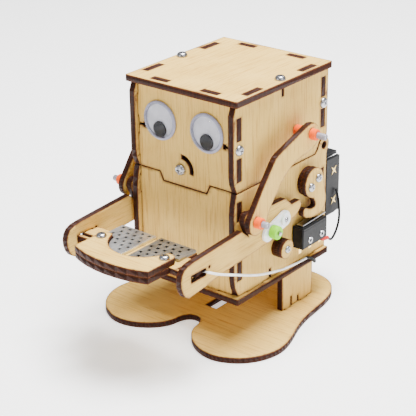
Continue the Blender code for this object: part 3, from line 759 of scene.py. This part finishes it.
def make_eyes():
    """Toy eyes: a white back, a rim, a clear dome and a loose black pupil."""
    for side, _ in SIDES:
        node, dot = "eye_" + side, "pupil_" + side
        low, high = box_mm(node)
        centre = middle(node)
        centre.y = high.y
        rim_r, depth = (high.x - low.x) / 2, high.y - low.y
        out = (0, -1, 0)
        back = [(0.02, 0), (0.02, rim_r - 0.1), (0.2, rim_r - 0.1), (0.2, 0)]
        lathe("eye_back_" + side, back, centre, out, "card", "head", 56, replaces=[node], slot=node)
        rim = [(0.22, rim_r - 1.5), (0.22, rim_r), (0.7, rim_r), (0.95, rim_r - 0.25),
               (1.15, rim_r - 0.6), (1.2, rim_r - 0.95), (1.1, rim_r - 1.35)]
        lathe("eye_rim_" + side, rim, centre, out, "rim", "head", 56, slot=node)
        turn = [math.radians(6 * k) for k in range(1, 16)]
        outer = [(1.0 + (depth - 1.0) * math.sin(t), (rim_r - 1.0) * math.cos(t)) for t in turn[:-1]]
        inner = [(a - 0.28, r * 0.965) for a, r in reversed(outer)]
        shell = outer + [(depth, 0), (depth - 0.3, 0)] + inner
        lathe("eye_dome_" + side, shell, centre, out, "dome", "head", 56, slot=node)
        low, high = box_mm(dot)
        radius, thick = (high.x - low.x) / 2, high.y - low.y
        spot = middle(dot)
        spot.y = high.y
        disc = [(0, 0), (0, radius - 0.15), (0.15, radius), (thick - 0.15, radius),
                (thick, radius - 0.15), (thick, 0)]
        lathe(dot + "_disc", disc, spot, out, "pupil", dot, 48, replaces=[dot], slot=dot)


def make_contacts():
    """The two perforated plates of the coin's seat, with a thin black sheet of painted shade in each hole."""
    for side, s in SIDES:
        node = "contact_plate_" + side
        # the right plate gets a darker metal than its twin on the left
        finish = "tin" if s < 0 else "darker_plate"
        low, high = box_mm(node)
        plate = restyle(node, finish, 0.15)
        column_gap, row_gap = 3.9, 3.55
        arc_middle, arc_radius = -61.6, 14.4
        holes = []
        for row in range(7):
            y = high.y - 2.2 - row_gap * row
            for column in range(6):
                x = 3.7 + column_gap * column + (column_gap / 2 if row % 2 else 0)
                inside = y > -63.0 or math.hypot(x, y - arc_middle) < arc_radius
                if inside and x < 20.2:
                    holes.append(ring_points(s * x, y, 1.15, 8, 0.72, math.pi / 4))
        # a thin black sheet near the bottom of every hole: painted shade for the dark inside of the holes
        dark = prisms(holes, "Z", low.z + 0.1, low.z + 0.3)
        new_piece("contact_hole_painted_shade_" + side, dark.data.copy(), "insulation_and_hole_shade", "arms", slot=node)
        bpy.data.objects.remove(dark)
        carve(plate, [prisms(holes, "Z", low.z - 1, high.z + 1)])
        paint(plate, finish)


def make_pins():
    """Steel pins and axles with their coloured sleeves."""
    for side, s in SIDES:
        out = (s, 0, 0)
        for place, x0, inner in (("lower", 32.35, False), ("upper", 30.4, True)):
            node = "link_pin_%s_%s" % (place, side)
            at = middle(node)
            at.x = 0
            tip = outermost_x(node)
            rod = [(x0, 0), (x0, PIN_RADIUS), (tip - 0.5, PIN_RADIUS), (tip - 0.2, 0.7), (tip - 0.2, 0)]
            lathe(node + "_rod", rod, at, out, "rod", body_of(node), 28, replaces=[node], slot=node)
            sleeves = [("outer", *OUTER_SLEEVE)] + ([("inner", *INNER_SLEEVE)] if inner else [])
            for name, a, b in sleeves:
                ring = [(a, PIN_BORE), (a, 2.35), (a + 0.25, 2.6), (b - 0.25, 2.6), (b, 2.35), (b, PIN_BORE)]
                lathe("%s_%s_sleeve" % (node, name), ring, at, out, "orange", body_of(node), 36, slot=node)
            start = OUTER_SLEEVE[1] + 0.1
            cap = [(start, PIN_BORE), (start, 1.45), (tip - 0.3, 1.5), (tip, 1.35), (tip, 0.75),
                   (tip - 0.9, 0.72), (tip - 0.9, PIN_BORE)]
            lathe(node + "_tube", cap, at, out, "tube", body_of(node), 32, slot=node)
        node = "axle_collar_" + side
        x0, x1 = sorted(abs(corner.x) for corner in box_mm(node))
        at = middle(node)
        at.x = 0
        bore = 1.12
        ring = [(x0, bore), (x0, 2.9), (x0 + 0.3, 3.2), (x1 - 0.4, 3.2), (x1 - 0.1, 3.0), (x1, 2.6),
                (x1, bore)]
        lathe(node + "_ring", ring, at, out, "green", "arms", 40, replaces=[node], slot=node)
        restyle("axle_clip_" + side, "nylon", 0.2)
        clip_x = outermost_x("axle_clip_" + side)
        eyelet = [(clip_x - 0.1, 1.3), (clip_x - 0.1, 3.3), (clip_x + 0.9, 3.1), (clip_x + 1.1, 2.8),
                  (clip_x + 1.1, 1.6), (clip_x + 0.9, 1.3)]
        lathe("clip_eyelet_" + side, eyelet, (0, at.y + 10.0, at.z + 2.5), out, "nylon", "arms", 36,
              slot="axle_clip_" + side)
        screw("clip_screw_" + side, (s * (clip_x + 0.05), at.y + 9.6, at.z + 2.6), out, 1.25, 1.7, "arms",
              None, 12, slot="axle_clip_" + side)
    for node, radius in (("arm_axle", 1.05), ("hinge_pin", 1.6)):
        low, high = box_mm(node)
        at = middle(node)
        at.x = 0
        rod = [(low.x, 0), (low.x, radius - 0.35), (low.x + 0.3, radius - 0.02),
               (high.x - 0.3, radius - 0.02), (high.x, radius - 0.35), (high.x, 0)]
        lathe(node + "_rod", rod, at, (1, 0, 0), "rod", body_of(node), 28, replaces=[node], slot=node)


def make_switch():
    """The lever switch: case, rivets, plunger, terminals and lever."""
    node = "micro_switch"
    low, high = box_mm(node)
    body = rounded_box("switch_body", low, high, 0.45, "black", "body", replaces=[node], slot=node)
    rivets = [(low.y + 6.2, low.z + 3.2), (low.y + 15.7, low.z + 3.2)]
    cuts = [prisms([ring_points(y, z, 1.2, 20) for y, z in rivets], "X", low.x - 1, high.x + 1)]
    seam = [rectangle(low.y - 1, high.y + 1, high.z - 1.55, high.z - 1.4)]
    cuts.append(prisms(seam, "X", high.x - 0.12, high.x + 1))
    carve(body, cuts)
    for count, (y, z) in enumerate(rivets):
        eyelet = [(low.x + 0.3, 0.75), (low.x + 0.3, 1.17), (high.x, 1.17), (high.x, 1.7),
                  (high.x + 0.25, 1.6), (high.x + 0.32, 1.2), (high.x + 0.2, 0.8)]
        lathe("switch_rivet_%d" % count, eyelet, (0, y, z), (1, 0, 0), "steel", "body", 32, slot="arm_axle")
    plunger = (low.x + 2.4, low.y + 12.4, high.z - 0.4), (high.x - 2.4, low.y + 14.2, high.z + 0.12)
    rounded_box("switch_plunger", *plunger, 0.25, "red", "body", slot="terminal_sleeve_red")
    for count, y in enumerate((low.y + 1.9, low.y + 10.0, low.y + 18.0)):
        rounded_box("switch_terminal_%d" % count, (low.x + 2.9, y - 1.1, low.z - 3.0),
                    (low.x + 3.5, y + 1.1, low.z + 0.4), 0.12, "gold", "body", slot="arm_axle")
    restyle("switch_lever", "rod", 0.05)


def make_power():
    """Battery holder with its cells and contacts, and the gear motor."""
    node = "battery_holder"
    low, high = box_mm(node)
    shell = rounded_box("holder_shell", (low.x, HOLDER_FACE, low.z), high, 1.9, "black", "body",
                        replaces=[node], slot=node)
    room = rectangle(HOLDER_FACE + HOLDER_WALL, high.y + 3, low.z + HOLDER_WALL, high.z - HOLDER_WALL)
    cuts = [prisms([room], "X", low.x + HOLDER_WALL, high.x - HOLDER_WALL)]
    notch = [ring_points(0, high.y + 4.0, 11.0, 40)]
    cuts.append(prisms(notch, "Z", low.z - 1, high.z + 1))
    carve(shell, cuts)
    rounded_box("holder_step", (-26, 33.7, low.z + 1), (26, HOLDER_FACE + 0.3, high.z - 1), 0.6,
                "black", "body", slot=node)
    middle_z = (low.z + high.z) / 2
    rounded_box("holder_rib", (low.x + 1, HOLDER_FACE + 1.2, middle_z - 0.55),
                (high.x - 1, 43.5, middle_z + 0.55), 0.3, "black", "body", slot=node)
    for number in (1, 2):
        cell = "battery_%d" % number
        at = middle(cell)
        flip = 1 if number == 1 else -1
        wrap = [(-25.2, 0), (-25.2, 6.3), (-25.0, 6.75), (-24.6, CELL_RADIUS), (23.3, CELL_RADIUS),
                (23.8, 6.7), (24.0, 6.2), (24.0, 3.0), (24.0, 0)]
        lathe(cell + "_wrap", wrap, (0, at.y, at.z), (flip, 0, 0), "cell", "body", 56,
              replaces=[cell], slot=cell)
        nub = [(24.05, 0), (24.05, 2.7), (25.1, 2.6), (25.3, 2.3), (25.3, 0)]
        lathe(cell + "_nub", nub, (0, at.y, at.z), (flip, 0, 0), "steel", "body", 32, slot=cell)
        spring(cell + "_spring", (-flip * 25.4, at.y, at.z), -flip, 2.1, slot=cell)
        plate_x = sorted((flip * 25.9, flip * 26.3))
        rounded_box(cell + "_contact", (plate_x[0], at.y - 4, at.z - 4.4),
                    (plate_x[1], at.y + 4, at.z + 4.4), 0.1, "gold", "body", slot=cell)
        for side, s in SIDES:
            star = ring_points(at.y - 0.6, at.z, 2.9, 8, 0.75, math.pi / 4)
            face = s * high.x
            tab = prisms([star], "X", *sorted((face - s * 0.3, face + s * 0.16)))
            new_piece("%s_tab_%s" % (cell, side), tab.data.copy(), "gold", "body", slot=cell)
            bpy.data.objects.remove(tab)
    node = "motor_gearbox"
    low, high = box_mm(node)
    rounded_box("gearbox_case", low, high, 0.5, "gold", "body", replaces=[node], slot=node)
    node = "motor_can"
    low, high = box_mm(node)
    r = (high.z - low.z) / 2
    can = [(low.x, 0), (low.x, 1.0), (low.x + 0.4, 1.0), (low.x + 0.4, r - 0.8), (low.x + 1.0, r - 0.2),
           (low.x + 1.6, r), (high.x - 0.2, r), (high.x, r - 0.2), (high.x, 0)]
    at = middle(node)
    lathe("motor_can_shell", can, (0, at.y, at.z), (1, 0, 0), "steel", "body", 48,
          replaces=[node], slot=node)
    restyle("output_shaft", "rod", 0.1)


def make_wires():
    """The tray's two wires, the battery's wire and the sleeve on the switch."""
    right = [(35.9, -62.0, 51.0), (36.6, -55.0, 47.4), (36.4, -44.0, 42.6), (35.9, -28.0, 35.9),
             (35.0, -16.0, 32.0), (34.0, -4.0, 28.9), (33.3, 6.0, 27.2), (32.9, 17.2, 26.2),
             (33.2, 20.8, 24.4), (32.7, 23.8, 21.7), (30.4, 26.8, 20.9), (26.4, 28.6, 21.2)]
    for side, s in SIDES:
        node = "wire_tray_" + side
        path = curve_through([(s * x, y, z) for x, y, z in right])
        wire = tube(node + "_insulation", path, 0.56, "white", None)
        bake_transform(wire)
        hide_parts(node)
        dark = [q for q in path if q.y > 15.8]
        sleeve = tube("wire_sleeve_" + side, dark, 0.74, "insulation_and_hole_shade", "body", slot="wire_battery_black")
        knot = [path[0] + Vector((-s * 2.4, -0.6, -0.2)), path[0] + Vector((-s * 1.0, -0.5, 0.1)), path[0]]
        tube("wire_end_" + side, knot, 0.5, "tin", "arms", slot="contact_plate_" + side)
    black = curve_through([(29.7, 45.4, 51.8), (30.6, 45.8, 48.2), (31.5, 45.6, 44.2), (32.0, 45.3, 40.2),
                           (32.2, 44.9, 36.6), (32.3, 43.4, 32.8), (32.6, 40.4, 29.7), (33.3, 36.6, 29.0),
                           (33.8, 33.4, 31.0)])
    wire = tube("wire_black_insulation", black, 0.6, "insulation_and_hole_shade", "body", replaces=["wire_battery_black"],
                slot="wire_battery_black")
    red = curve_through([(34.2, 26.4, 33.4), (34.4, 28.4, 32.5), (34.2, 30.8, 31.9), (33.9, 32.9, 31.5)])
    tube("sleeve_red", red, 0.85, "red", "body", replaces=["terminal_sleeve_red"], slot="terminal_sleeve_red")


mats = make_materials()
make_camera()
make_studio()
make_sheets()
make_screws()
make_eyes()
make_contacts()
make_pins()
make_switch()
make_power()
make_wires()
